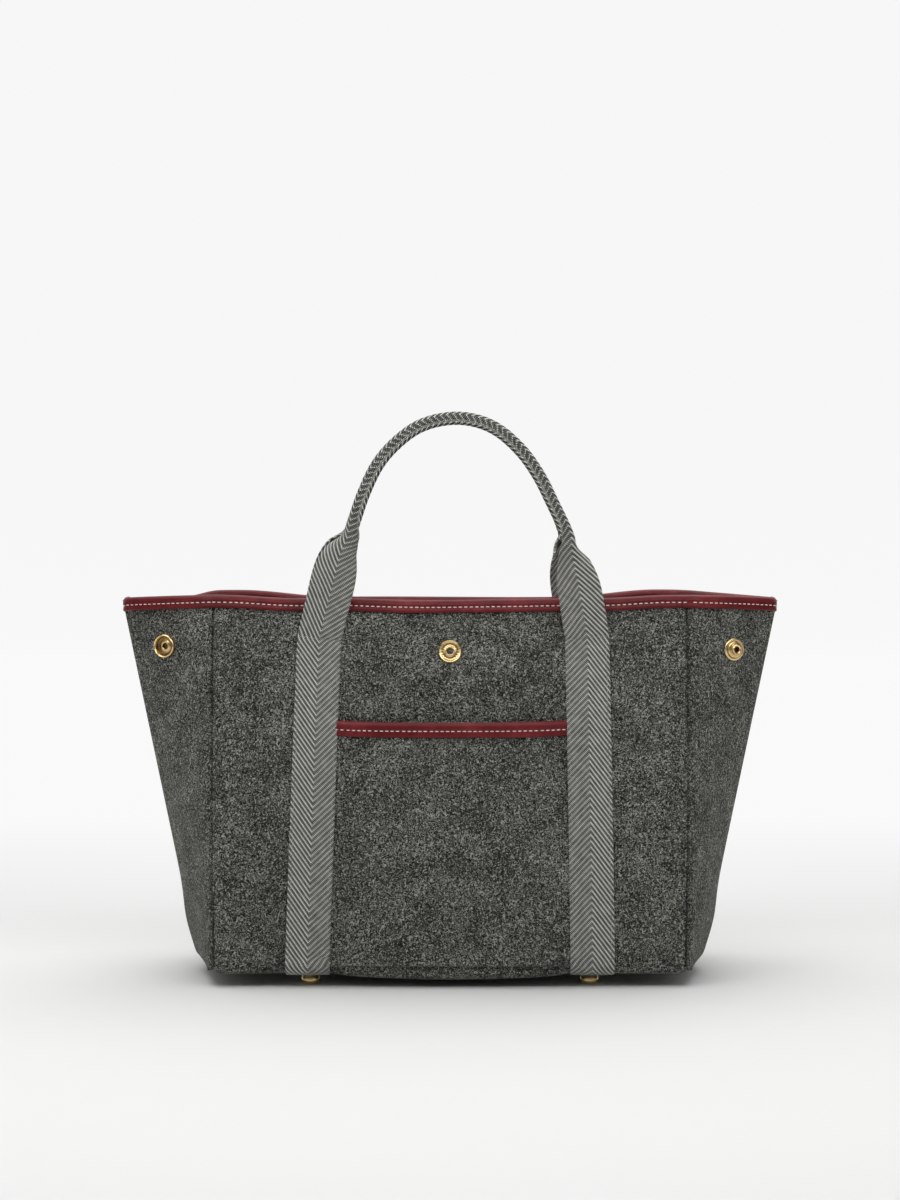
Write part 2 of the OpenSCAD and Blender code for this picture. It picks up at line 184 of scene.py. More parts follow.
class Wire:
    """One output of a shader node. Sums and products of wires add Math nodes."""

    def __init__(self, tree, socket):
        self.tree, self.socket = tree, socket

    def node(self, kind, inputs=(), out=0, **settings):
        made = self.tree.nodes.new(kind)
        stops = settings.pop("stops", None)
        for key, value in settings.items():
            setattr(made, key, value)
        if stops:
            while len(made.color_ramp.elements) < len(stops):
                made.color_ramp.elements.new(0.5)
            for element, (place, colour) in zip(made.color_ramp.elements, stops):
                element.position = place
                element.color = (*colour, 1)
        for key, value in dict(inputs).items():
            if isinstance(value, Wire):
                self.tree.links.new(value.socket, made.inputs[key])
            else:
                made.inputs[key].default_value = value
        return Wire(self.tree, made.outputs[out])

    def math(self, operation, a, b=0.0):
        return self.node("ShaderNodeMath", {0: a, 1: b}, operation=operation)

    def noise(self, scale, detail=2.0, roughness=0.5, distortion=0.0):
        return self.node("ShaderNodeTexNoise", {"Vector": self, "Scale": scale, "Detail": detail,
                                                "Roughness": roughness, "Distortion": distortion})

    def ramp(self, stops):
        grey = [(p, c if isinstance(c, tuple) else (c, c, c)) for p, c in stops]
        return self.node("ShaderNodeValToRGB", {"Fac": self}, stops=grey)

    def mix(self, a, b):
        """self is the factor between colours a and b."""
        return self.node("ShaderNodeMix", {0: self, 6: a, 7: b}, out=2, data_type="RGBA")

    def __add__(self, other):
        return self.math("ADD", self, other)

    def __sub__(self, other):
        return self.math("SUBTRACT", self, other)

    def __rsub__(self, other):
        return self.math("SUBTRACT", other, self)

    def __mul__(self, other):
        return self.math("MULTIPLY", self, other)

    def __truediv__(self, other):
        return self.math("DIVIDE", self, other)

    __radd__, __rmul__ = __add__, __mul__


def start_material(name, coords="Object", **constants):
    """A Principled material and the wire of its coordinates."""
    material = bpy.data.materials.new(name)
    material.use_nodes = True
    tree = material.node_tree
    shader = tree.nodes["Principled BSDF"]
    for key, value in constants.items():
        shader.inputs[key.replace("_", " ")].default_value = value
    place = tree.nodes.new("ShaderNodeTexCoord").outputs[coords]
    return material, shader, Wire(tree, place)


def plug(shader, **wires):
    for key, wire in wires.items():
        wire.tree.links.new(wire.socket, shader.inputs[key.replace("_", " ")])


def bump(height, distance):
    return height.node("ShaderNodeBump", {"Height": height, "Distance": distance, "Strength": 1.0},
                       out="Normal")


def wool_material():
    """Charcoal heather: dark and pale fibres felted together, with slow cloudy patches, and painted shade
    in the grooves of the seams."""
    material, shader, at = start_material(
        "wool", Sheen_Weight=0.12, Sheen_Roughness=0.4, Specular_IOR_Level=0.12)
    shader.inputs["Sheen Tint"].default_value = (0.75, 0.75, 0.7, 1)
    speck = at.noise(1450, 2.0, 0.6)
    clump = at.noise(600, 2.0, 0.55)
    cloud = at.noise(60, 3.0, 0.55)
    thread = at.noise(620, 0.0, 0.5, 1.6)
    near_line = 1 - thread.math("ABSOLUTE", thread - 0.5) * 20
    fibre = near_line.math("MAXIMUM", near_line, 0.0) * at.noise(330, 1.0).ramp([(0.45, 0.0), (0.6, 1.0)])
    nep = at.noise(900, 0.0).ramp([(0.7, 0.0), (0.76, 1.0)])
    tone = speck * 1.24 + clump * 0.46 + cloud * 0.24 - 0.48
    body = tone.ramp([(0.39, (0.010, 0.0105, 0.009)), (0.5, (0.047, 0.0485, 0.042)),
                      (0.58, (0.135, 0.138, 0.121)), (0.7, (0.42, 0.425, 0.38))])
    pale = (fibre * 0.68 + nep * 0.6).mix(body, (0.5, 0.5, 0.455, 1))
    # Painted shade: the shade attribute darkens the cloth nearly to black in the groove along each seam.
    seam = at.node("ShaderNodeAttribute", out="Fac", attribute_name="shade")
    colour = (seam * 0.85).mix(pale, (0.004, 0.004, 0.004, 1))
    rough = 0.84 + clump * 0.14
    relief = speck * 0.5 + clump * 0.6 + fibre * 0.5
    plug(shader, Base_Color=colour, Roughness=rough, Normal=bump(relief, 0.0011))
    return material


wool = wool_material()


def wall_rows(x, side):
    """Points down one line of the wall's face: under the base, round its edge, and up to the rim."""
    turn_r = 4.5
    low, high = hem_z(x), rim_z(x, side) - binding_drop
    under = wall_y(bottom_z + turn_r) + wall_push(x, bottom_z + turn_r, side)
    rows = [np.stack([x, side * (under - turn_r - 7), low + 0.5], -1)]
    for angle in np.linspace(90, 0, 7)[:-1]:
        a = math.radians(angle)
        rows.append(np.stack([x, side * (under - turn_r * (1 - math.cos(a))),
                              low + turn_r * (1 - math.sin(a))], -1))
    for t in np.linspace(0, 1, 74):
        rows.append(wall_point(x, low + turn_r + (high - low - turn_r) * t, 0, side))
    return np.stack(rows)


def thickened(face, thickness, side):
    """The grid moved inwards along its own normals."""
    down = np.gradient(face, axis=0)
    along = np.gradient(face, axis=1)
    n = np.cross(down, along)
    n /= np.linalg.norm(n, axis=-1, keepdims=True)
    middle = n[len(n) // 2, n.shape[1] // 2]
    if middle[1] * side > 0:
        n = -n
    return face + n * thickness


for side, body in ((-1, "front"), (1, "back")):
    spread = np.sin(np.linspace(-1, 1, 141) * math.pi * 0.42) / math.sin(math.pi * 0.42)
    columns = (half_w - seam_gap) * spread
    face = wall_rows(columns, side)
    # Painted shade along both side seams, for the wool's colour.
    shade = np.repeat(seam_shade(half_w - np.abs(columns))[None], len(face), 0)
    wall = sheet_between(body + "_wall", face, thickened(face, wool_t, side), wool, shade=shade)
    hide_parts(body + "_panel")
    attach(wall, body)

# ---- Wool gussets ----
# One strip of the same wool at each end, creased down its middle so that the crease stands outwards.
# Each half is sewn to a wall at its seam.


bow = 1.6                         # a half stands this far off a flat panel
crease_soft = 0.035               # rounding of the crease, as a share of a half
low_swell = 1.9                   # the crease stands out this much more just above the floor


def gusset_point(u, z, depth, hand):
    """u is -1 at the front seam, 0 at the crease, 1 at the back seam; hand is 1 right, -1 left."""
    p, w = fold_x(z), wall_y(z)
    a = (np.sqrt(u * u + crease_soft**2) - crease_soft) / (math.sqrt(1 + crease_soft**2) - crease_soft)
    swell = bow * np.sin(math.pi * np.abs(u)) * smooth(z / 60)
    swell = swell - seam_dip * smooth((np.abs(u) - 0.88) / 0.12) ** 1.5
    swell = swell - crease_dip * np.exp(-(((1 - np.abs(u)) * half_d / crease_w) ** 2))
    swell = swell + 0.5 * np.sin(z / 23 + 3 * u + hand) * np.sin(math.pi * np.abs(u))
    t = depth - swell * smooth(np.abs(u) / 0.1)
    tip = half_w + p - t * half_d / w + low_swell * np.exp(-(((z - 30) / 16) ** 2))
    seam_x, seam_y = half_w + seam_gap - t * w / half_d, w - t * p / half_d
    return np.stack([hand * (tip + (seam_x - tip) * a), u * seam_y, z + 0 * u], -1)


def gusset_rim(u, hand):
    """Lowest at the crease; the left one's back half hangs a little between crease and seam."""
    hang = (2.6 if hand < 0 else 0.3) * smooth(u / 0.45) * (1 - smooth((u - 0.7) / 0.3))
    return mouth_z - 3.4 * (1 - np.abs(u)) ** 1.2 - hang


def gusset_low(u):
    return 8.2 + 3.7 * smooth((np.abs(u) - 0.8) / 0.2)


def gusset_grid(us, depth, hand, top_drop, rows=70):
    grid = []
    for t in np.linspace(0, 1, rows):
        low, high = gusset_low(us), gusset_rim(us, hand) - top_drop
        grid.append(gusset_point(us, low + (high - low) * t, depth, hand))
    return np.stack(grid)


def half_us(side):
    """From crease to seam, closer together at both."""
    s = np.linspace(0, 1, 38)
    return side * (0.35 * s + 0.325 * (1 - np.cos(math.pi * s)))


halves = [(hand, word, side, wall) for hand, word in ((1, "right"), (-1, "left"))
          for side, wall in ((-1, "front"), (1, "back"))]


def blend_gusset(piece, side):
    """Bakes the piece's placement into its mesh."""
    side * 29 * MM
    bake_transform(piece)


for hand, word, side, wall in halves:
    us = half_us(side)
    face = gusset_grid(us, 0, hand, binding_drop)
    # Painted shade along the seam, for the wool's colour.
    shade = np.repeat(seam_shade((1 - np.abs(us)) * half_d)[None], len(face), 0)
    inner = gusset_grid(us, wool_t, hand, binding_drop)
    half = sheet_between(f"{word}_{wall}_gusset", face, inner, wool, shade=shade)
    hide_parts(word + "_gusset")
    blend_gusset(half, side)

# ---- Base ----
# A wool panel closes the bottom, with a stiff board on it and a lining over the board. From below it
# shows as a shallow pillow between the walls' turned edges.


base_half_y, base_top = 56.0, 11.0


def base_grid(z_of, half_y, inset):
    """Grid over the base's outline, which comes to a low point at each end."""
    grid = []
    for v in np.linspace(-1, 1, 24):
        end = half_w + (fold_x(base_top) - wool_t) * (1 - abs(v)) - inset
        x = np.linspace(-end, end, 60)
        y = np.full(len(x), v * half_y)
        grid.append(np.stack([x, y, z_of(x, y)], -1))
    return np.stack(grid)


def underside(x, y):
    edge = smooth((np.abs(y) - 38) / 18)
    edge_z = np.minimum(hem_z(x) + 0.8, 10.0)
    return 8.6 + (edge_z - 8.6) * edge + 0.2 * np.sin(x / 15) * np.cos(y / 13)


base = sheet_between("base_wool", base_grid(underside, base_half_y, 0.5),
                     base_grid(lambda x, y: base_top + 0 * x, base_half_y, 0.5), wool)
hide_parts("base_panel")
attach(base, "base")


def flecked_material(name, noise, dark, pale, roughness, relief, **constants):
    """Fine flecks between two colours. noise is (scale, detail, roughness); roughness is its least value
    and how much the flecks add."""
    material, shader, at = start_material(name, **constants)
    flecks = at.noise(*noise)
    plug(shader, Base_Color=flecks.ramp([dark, pale]), Roughness=roughness[0] + flecks * roughness[1],
         Normal=bump(flecks, relief))
    return material


greyboard = flecked_material("greyboard", (420, 4.0, 0.65), (0.35, (0.2, 0.17, 0.13)),
                             (0.65, (0.36, 0.31, 0.24)), (0.8, 0.15), 0.0002, Specular_IOR_Level=0.25)
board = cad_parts["base_board"]
board.data.materials.clear()
board.data.materials.append(greyboard)

# ---- Lining ----
# Plain woven cotton in a mid grey, cut like the shell and held in the mouth's binding.


def lining_material():
    material, shader, at = start_material("lining_cotton", Sheen_Weight=0.1, Specular_IOR_Level=0.25)
    weft = at.node("ShaderNodeTexWave", {"Vector": at, "Scale": 330.0, "Distortion": 0.6, "Detail": 1.0},
                   out="Fac", bands_direction="Z")
    warp = at.node("ShaderNodeTexWave", {"Vector": at, "Scale": 330.0, "Distortion": 0.6, "Detail": 1.0},
                   out="Fac", bands_direction="DIAGONAL")
    weave = weft * 0.5 + warp * 0.5
    slub = at.noise(90, 3.0, 0.6)
    tone = weave * 0.5 + slub * 0.5
    plug(shader, Base_Color=tone.ramp([(0.2, (0.07, 0.068, 0.064)), (0.8, (0.17, 0.165, 0.155))]),
         Roughness=0.8 + slub * 0.15, Normal=bump(weave, 0.00025))
    return material


cotton = lining_material()
lining_at = wool_t + 0.1          # the lining's outer face lies this deep under the wool's
lining_low, lining_drop = 14.3, 3.0
for side, body in ((-1, "front"), (1, "back")):
    x = np.linspace(-half_w + 3.2, half_w - 3.2, 80)
    high = rim_z(x, side) - lining_drop
    heights = [lining_low + (high - lining_low) * t for t in np.linspace(0, 1, 60)]
    near = np.stack([wall_point(x, z, lining_at, side) for z in heights])
    far = np.stack([wall_point(x, z, lining_at + lining_t, side) for z in heights])
    piece = sheet_between(body + "_wall_lining", near, far, cotton)
    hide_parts(body + "_lining")
    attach(piece, body)

for hand, word, side, wall in halves:
    us = half_us(side) * 0.985
    near, far = (gusset_grid(us, deep, hand, lining_drop, 50) for deep in (lining_at, lining_at + lining_t))
    piece = sheet_between(f"{word}_{wall}_gusset_lining", near, far, cotton)
    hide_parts(word + "_gusset_lining")
    blend_gusset(piece, side)


def lining_floor(x, y):
    return 14.1 + 0.25 * np.sin(x / 19 + 1) * np.cos(y / 17) + 0 * x


floor_half_y, floor_inset, floor_t = 55.2, 3.0, 0.55      # clear of the walls as they lean
floor_lining = sheet_between(
    "base_lining_cloth", base_grid(lining_floor, floor_half_y, floor_inset),
    base_grid(lambda x, y: lining_floor(x, y) - floor_t, floor_half_y, floor_inset), cotton)
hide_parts("base_lining")
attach(floor_lining, "base")

# ---- Leather binding of the mouth ----
# A strip of smooth burgundy leather folded over the raw edges of wool and lining all round the mouth,
# and held by one row of lockstitch through all layers.

binding_h = 8.3
stitch_drop = 5.2                 # stitch row below the fold
stitch_pitch = 3.1
end_gap = 0.8                     # no stitch this near the end of a length
thread_lift = 0.12                # a stitch's middle stands this far off the leather
leather_t = 1.2


def leather_material():
    material, shader, at = start_material(
        "burgundy_leather", Specular_IOR_Level=0.13, Coat_Roughness=0.18)
    pores = at.node("ShaderNodeTexVoronoi", {"Vector": at, "Scale": 1500.0}, out="Distance")
    creases = at.noise(260, 4.0, 0.6)
    tone = at.noise(48, 3.0, 0.55)
    shade = tone * 0.7 + creases * 0.3
    colour = shade.ramp([(0.3, (0.078, 0.006, 0.008)), (0.52, (0.128, 0.012, 0.015)),
                         (0.72, (0.2, 0.025, 0.029))])
    plug(shader, Base_Color=colour, Roughness=0.24 + creases * 0.18, Coat_Weight=0.02 + tone * 0.12,
         Normal=bump(pores * 0.3 + creases * 0.7, 0.00022))
    return material


leather = leather_material()


def folded_section(core, height, wave=0.0):
    """Outline of a folded strip round a core that thick: (outwards, up) from the top of the outer face.
    wave is 1 at a stitch and 0 between two."""
    lip = leather_t
    mid = -core / 2
    r = core / 2 + lip + 0.25      # the fold is a little fuller than what it wraps
    dip = 0.28 + 0.3 * wave        # the thread pulls the leather in
    outer = [(0.1, -height + 0.15), (lip * 0.5, -height - 0.05), (lip, -height + 0.2),
             (lip + 0.25, -height + 0.9), (lip + 0.22, -stitch_drop - 1.1), (lip + 0.3 - dip, -stitch_drop),
             (lip + 0.35, -stitch_drop + 1.0), (mid + r + 0.06, -3.2)]
    arc = [(mid + r * math.cos(a), -r + r * math.sin(a)) for a in np.linspace(0.1, math.pi - 0.1, 9)]
    inner = [(2 * mid - n, v) for n, v in outer[::-1]]
    inside = [(-core - 0.05, -height + 0.6), (-core - 0.05, -2.2), (mid, -1.5), (0.05, -2.2),
              (0.05, -height + 0.6)]
    return outer + arc + inner + inside


def swept(name, stations, sections, material):
    """A closed tube: one ring of points for each station (place, outwards, up), ends capped."""
    rings = np.stack([place + np.outer([n for n, _ in s], out) + np.outer([v for _, v in s], up)
                      for (place, out, up), s in zip(stations, sections)])
    count, size = rings.shape[:2]
    index = np.arange(count * size).reshape(count, size)
    turn = np.roll(index, -1, axis=1)
    quads = np.stack([index[:-1], turn[:-1], turn[1:], index[1:]], -1).reshape(-1, 4)
    faces = quads.tolist() + [index[0].tolist()[::-1], index[-1].tolist()]
    return new_object(name, rings.reshape(-1, 3), faces, material)


def mouth_loop():
    """Points all round the mouth at the top of the outer face, from the front left corner, with marks
    where the front, the right gusset's halves, the back and the left gusset's halves end."""
    n_wall, n_half = 340, 90
    x = np.linspace(-half_w, half_w, n_wall)
    walls = []
    for side, xs in ((-1, x), (1, x[::-1])):
        z = rim_z(xs, side)
        walls.append(np.stack([xs, side * (wall_y(z) + wall_push(xs, z, side) + 0.3), z], -1))
    u = np.linspace(-1, 1, 2 * n_half + 1)
    depth = -0.3 + 0.9 * np.exp(-((u / 0.07) ** 2))
    right = gusset_point(u, gusset_rim(u, 1), depth, 1)
    left = gusset_point(u[::-1], gusset_rim(u[::-1], -1), depth, -1)
    loop = np.concatenate([walls[0], right[1:-1], walls[1], left[1:-1]])
    marks = [0, n_wall - 1, n_wall - 1 + n_half, n_wall - 1 + 2 * n_half, 2 * n_wall - 2 + 2 * n_half,
             2 * n_wall - 2 + 3 * n_half, 2 * n_wall - 2 + 4 * n_half]
    for _ in range(22):            # softens the corners at the seams and creases
        loop = (np.roll(loop, 1, 0) + 2 * loop + np.roll(loop, -1, 0)) / 4
    return loop, marks


loop, marks = mouth_loop()
steps = np.diff(np.vstack([loop, loop[:1]]), axis=0)
travel = np.concatenate([[0], np.cumsum(np.linalg.norm(steps, axis=1))])
heading = np.roll(loop, -3, 0) - np.roll(loop, 3, 0)
heading[:, 2] *= 0.6
heading /= np.linalg.norm(heading, axis=1, keepdims=True)
outwards = np.stack([heading[:, 1], -heading[:, 0], 0 * heading[:, 0]], -1)
outwards /= np.linalg.norm(outwards, axis=1, keepdims=True)
on_wall = np.clip(1.4 * np.abs(outwards[:, 1]) - 0.4, 0, 1)[:, None]
lean_in = math.tan(float(wall_lean(mouth_z - 4))) * on_wall - fold_slope * (1 - on_wall)
upwards = np.array([0, 0, 1.0]) - outwards * lean_in
upwards /= np.linalg.norm(upwards, axis=1, keepdims=True)
outwards = np.cross(heading, upwards)
outwards /= np.linalg.norm(outwards, axis=1, keepdims=True)


def loop_stretch(start, end):
    """Stations of the mouth's loop between two marks, and how far along each lies."""
    index = np.arange(start, end + 1)
    wrapped = index % len(loop)
    return wrapped, travel[index % len(loop)] + (index >= len(loop)) * travel[-1]


thread = flecked_material("cream_thread", (1400, 2.0, 0.6), (0.3, (0.62, 0.5, 0.42)),
                          (0.7, (0.86, 0.79, 0.7)), (0.5, 0.25), 0.0001, Sheen_Weight=0.2,
                          Specular_IOR_Level=0.35)


def stitch_tree():
    """Geometry nodes: one rounded stitch on every point, turned to the point's own directions."""
    tree = bpy.data.node_groups.new("stitch_row", "GeometryNodeTree")
    face = tree.interface
    face.new_socket("Points", in_out="INPUT", socket_type="NodeSocketGeometry")
    for label, value in (("Stitch length", 0.0022), ("Thread radius", 0.0003)):
        face.new_socket(label, in_out="INPUT", socket_type="NodeSocketFloat").default_value = value
    face.new_socket("Thread", in_out="INPUT", socket_type="NodeSocketMaterial")
    face.new_socket("Stitches", in_out="OUTPUT", socket_type="NodeSocketGeometry")

    def add(kind, feeds, **settings):
        """The first output of a new node. feeds holds an output to link or a value for each input."""
        node = tree.nodes.new(kind)
        for key, value in settings.items():
            setattr(node, key, value)
        for key, value in feeds.items():
            if isinstance(value, bpy.types.NodeSocket):
                tree.links.new(value, node.inputs[key])
            else:
                node.inputs[key].default_value = value
        return node.outputs[0]

    given = tree.nodes.new("NodeGroupInput").outputs
    ball = add("GeometryNodeMeshUVSphere", {"Segments": 6, "Rings": 6, "Radius": 1.0})
    half = add("ShaderNodeMath", {0: given["Stitch length"], 1: 0.5}, operation="MULTIPLY")
    thick = given["Thread radius"]
    size = add("ShaderNodeCombineXYZ", {"X": half, "Y": thick, "Z": thick})
    along, outwards = (add("GeometryNodeInputNamedAttribute", {"Name": label}, data_type="FLOAT_VECTOR")
                       for label in ("along", "outwards"))
    turn = add("FunctionNodeAxesToRotation", {"Primary Axis": along, "Secondary Axis": outwards},
               primary_axis="X", secondary_axis="Z")
    place = add("GeometryNodeInstanceOnPoints", {"Points": given["Points"], "Instance": ball,
                                                 "Rotation": turn, "Scale": size})
    whole = add("GeometryNodeRealizeInstances", {"Geometry": place})
    coat = add("GeometryNodeSetMaterial", {"Geometry": whole, "Material": given["Thread"]})
    tree.links.new(coat, tree.nodes.new("NodeGroupOutput").inputs["Stitches"])
    return tree


stitches = stitch_tree()


def stitch_row(name, places, along, out, material, length=2.35, radius=0.33):
    """A row of stitches as one plain mesh. places, along and out hold one row a stitch."""
    mesh = bpy.data.meshes.new(name + "_points")
    mesh.from_pydata((np.asarray(places) * MM).tolist(), [], [])
    for label, values in (("along", along), ("outwards", out)):
        layer = mesh.attributes.new(label, "FLOAT_VECTOR", "POINT")
        layer.data.foreach_set("vector", np.asarray(values, float).ravel())
    seed = bpy.data.objects.new(name + "_seed", mesh)
    bpy.context.scene.collection.objects.link(seed)
    modifier = seed.modifiers.new("stitches", "NODES")
    modifier.node_group = stitches
    sockets = {s.name: s.identifier for s in stitches.interface.items_tree if s.in_out == "INPUT"}
    modifier[sockets["Stitch length"]] = length * MM
    modifier[sockets["Thread radius"]] = radius * MM
    modifier[sockets["Thread"]] = material
    graph = bpy.context.evaluated_depsgraph_get()
    plain = bpy.data.meshes.new_from_object(seed.evaluated_get(graph))
    bpy.data.objects.remove(seed)
    plain.polygons.foreach_set("use_smooth", [True] * len(plain.polygons))
    row = bpy.data.objects.new(name, plain)
    bpy.context.scene.collection.objects.link(row)
    return row


def bind_mouth(name, start, end):
    """The binding and its stitches between two marks of the mouth's loop."""
    index, at = loop_stretch(start, end)
    core = wool_t + lining_t
    stations = [(loop[i], outwards[i], upwards[i]) for i in index]
    sections = [folded_section(core, binding_h, 0.5 + 0.5 * math.cos(2 * math.pi * s / stitch_pitch))
                for s in at]
    strip = swept(name + "_binding", stations, sections, leather)
    first, last = math.ceil(at[0] / stitch_pitch), math.floor(at[-1] / stitch_pitch)
    spots = np.arange(first, last + 1) * stitch_pitch + stitch_pitch / 2
    spots = spots[(spots > at[0] + end_gap) & (spots < at[-1] - end_gap)]
    place, along, out, up = (np.stack([np.interp(spots, at, values[index][:, k]) for k in range(3)], -1)
                             for values in (loop, heading, outwards, upwards))
    outside = place + out * (leather_t + thread_lift) - up * stitch_drop
    inside = place - out * (core + leather_t + thread_lift) - up * stitch_drop
    rows = stitch_row(name + "_stitches", np.vstack([outside, inside]), np.vstack([along] * 2),
                      np.vstack([out, -out]), thread)
    return strip, rows


for body, start, end in (("front", marks[0], marks[1]), ("back", marks[3], marks[4])):
    strip, rows = bind_mouth(body + "_mouth", start, end)
    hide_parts(body + "_binding")
    for piece in (strip, rows):
        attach(piece, body)
ends = [("right", -1, "front", marks[1], marks[2]), ("right", 1, "back", marks[2], marks[3]),
        ("left", 1, "back", marks[4], marks[5]), ("left", -1, "front", marks[5], marks[6])]
for word, side, wall, start, end in ends:
    strip, rows = bind_mouth(f"{word}_{wall}_gusset", start, end)
    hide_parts(word + "_gusset_binding")
    for piece in (strip, rows):
        blend_gusset(piece, side)

# ---- Patch pocket ----
# A wool patch on the front, its side edges caught under the straps, slack at its mouth, which is bound
# in the same leather with the same stitch.

pocket_top, pocket_low, pocket_half = 150.0, 12.6, 73.0
pocket_wool = 2.2
pocket_slack = 5.5                # the mouth stands this far off the wall at its middle
pocket_binding_h = 8.8
edge_left, edge_right = -63.4, 65.6      # the binding ends at the straps' inner edges


def pocket_gap(x, z):
    t = np.clip((z - pocket_low) / (pocket_top - pocket_low), 0, 1.1)
    return 0.35 + pocket_slack * (1 - np.minimum(np.abs(x) / 66.0, 1) ** 4) * t**2.5


def pocket_point(x, z, depth):
    out = wall_y(z) + wall_push(x, z, -1) + pocket_gap(x, z) + pocket_wool - depth
    ripple = 0.35 * np.sin(x / 13 + z / 37) * np.clip((z - 20) / 60, 0, 1)
    out = out + ripple * smooth((64 - np.abs(x)) / 10)
    return np.stack([x + 0 * z, -out, z + 0 * x], -1)


x = np.linspace(-pocket_half, pocket_half, 90)
heights = pocket_low + 0.8 + np.linspace(0, 1, 60) * (pocket_top - binding_drop - pocket_low)
levels = np.concatenate([[pocket_low], heights])
pocket_face = np.stack([pocket_point(x, z, 1.2 if z == pocket_low else 0.0) for z in levels])
pocket_back = np.stack([pocket_point(x, z, pocket_wool) for z in levels])
patch = sheet_between("patch_pocket", pocket_face, pocket_back, wool)
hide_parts("front_pocket")
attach(patch, "front")

edge_x = np.arange(edge_left, edge_right + 0.4, 0.5)
edge_z = pocket_top - 0.7 * (1 - (edge_x / 66) ** 2)
edge = pocket_point(edge_x, edge_z, 0.0)
run = np.gradient(edge, axis=0)
run /= np.linalg.norm(run, axis=1, keepdims=True)
up = np.array([0, 0.12, 1.0]) / math.hypot(1, 0.12)
out = np.cross(run, up)
out /= np.linalg.norm(out, axis=1, keepdims=True)
waves = [0.5 + 0.5 * math.cos(2 * math.pi * a / stitch_pitch) for a in edge_x]
pocket_strip = swept("pocket_mouth_binding", [(p, o, up) for p, o in zip(edge, out)],
                     [folded_section(pocket_wool, pocket_binding_h, w) for w in waves], leather)
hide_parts("pocket_binding")
picks = np.array([i for i, a in enumerate(edge_x) if (a / stitch_pitch + 0.5) % 1 < 0.5 / stitch_pitch])
pocket_rows = stitch_row("pocket_mouth_stitches",
                         edge[picks] + out[picks] * (leather_t + thread_lift) - up * stitch_drop,
                         run[picks], out[picks], thread)
for piece in (pocket_strip, pocket_rows):
    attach(piece, "front")

# ---- Webbing straps and handles ----
# One length of 25 mm herringbone webbing on each face: up one side of the wall, free above the bar of
# stitches, rolled round a cord as the grip, and down the other side.

web_half, web_t = 12.5, 1.8
rib_pitch = 3.45
slope_out, slope_in = 1.35, 1.0   # slant of the ribs on the outer and the inner half
bar_z = 195.5
grip_mid_r = 2.85                 # radius of the webbing's middle layer round the cord
roll_from, roll_to = 220.0, 258.0
turn_from, turn_to = 244.0, 268.0
right_early = 6.0                 # the right leg rolls up this much lower than the left
face_turn = math.radians(155)     # the grip's seam is turned round to its inner, front side
rib_rise = 0.12
bar_dent = 0.9                    # how deep the bar of stitches pulls the webbing in


def web_material():
    """Herringbone: pale floats in slanted ribs that meet at a spine, clearer on the outer half. The cloth
    coordinates are metres across from the spine and metres along."""
    material, shader, at = start_material("herringbone_webbing", "UV", Sheen_Weight=0.06,
                                          Specular_IOR_Level=0.25)
    across = at.node("ShaderNodeSeparateXYZ", {0: at})
    along = Wire(across.tree, across.socket.node.outputs[1])
    side = across.math("ABSOLUTE", across)
    outer = across.math("GREATER_THAN", across, 0.0)
    slope = outer * (slope_out - slope_in) + slope_in
    phase = (along - side * slope) / (rib_pitch * MM)
    wave = phase.math("PINGPONG", phase, 0.5) * 2
    reach = (side + along * slope) / (1.25 * MM)
    bead = reach.math("PINGPONG", reach, 0.5) * 2
    strand = phase.math("PINGPONG", phase * 3, 0.5) * 2
    beaded = bead * (1 - outer * 0.72) + strand * outer * 0.45
    grain = at.noise(2300, 2.0, 0.6)
    patch = at.noise(210, 2.0, 0.5)
    ridge = wave.ramp([(0.5, 0.0), (0.92, 1.0)])
    gap = wave.ramp([(0.0, 1.0), (0.34, 0.0)])
    shown = 0.32 + outer * 0.68
    lit = 0.28 + ridge * (0.16 + beaded * 1.6) * shown - gap * 0.46 * shown
    lit = lit + (strand - 0.5) * 0.34 + (bead - 0.5) * 0.36 + (grain - 0.5) * 0.6 + (patch - 0.5) * 0.25
    # Painted light from the shade attribute: its negative values paint shade onto the rolled grip.
    shade = at.node("ShaderNodeAttribute", out="Fac", attribute_name="shade")
    lit = lit + shade.math("MINIMUM", shade, 0.0) * 0.45
    woven = lit.ramp([(0.0, (0.03, 0.0305, 0.027)), (0.2, (0.1, 0.101, 0.091)),
                      (0.42, (0.245, 0.245, 0.224)), (0.75, (0.8, 0.8, 0.75))])
    # Painted highlight: the shade attribute's positive values pale the webbing along the grip's selvedges.
    painted_selvedge_highlight = shade.math("MAXIMUM", shade, 0.0)
    colour = (painted_selvedge_highlight * 0.6).mix(woven, (0.6, 0.6, 0.555, 1))
    height = ridge * 0.5 + ridge * beaded * 0.4 - gap * 0.4 + grain * 0.1
    plug(shader, Base_Color=colour, Roughness=0.62 + grain * 0.25, Normal=bump(height, 0.0007))
    return material


webbing = web_material()


def catmull(points):
    """A smooth curve through the points."""
    p = np.array(points, float)
    p = np.vstack([2 * p[0] - p[1], p, 2 * p[-1] - p[-2]])
    out = []
    for i in range(1, len(p) - 2):
        a, b, c, d = p[i - 1:i + 3]
        for t in np.linspace(0, 1, 24, endpoint=False):
            out.append(0.5 * (2 * b + (c - a) * t + (2 * a - 5 * b + 4 * c - d) * t * t
                              + (3 * b - a - 3 * c + d) * t**3))
    out.append(p[-2])
    return np.array(out)


def lengths(path):
    return np.concatenate([[0], np.cumsum(np.linalg.norm(np.diff(path, axis=0), axis=1))])


def even(path, step):
    """The same path with even spacing."""
    at = lengths(path)
    want = np.linspace(0, at[-1], int(at[-1] / step) + 1)
    return np.stack([np.interp(want, at, path[:, k]) for k in range(path.shape[1])], -1)


def unit(vectors):
    return vectors / np.linalg.norm(vectors, axis=-1, keepdims=True)


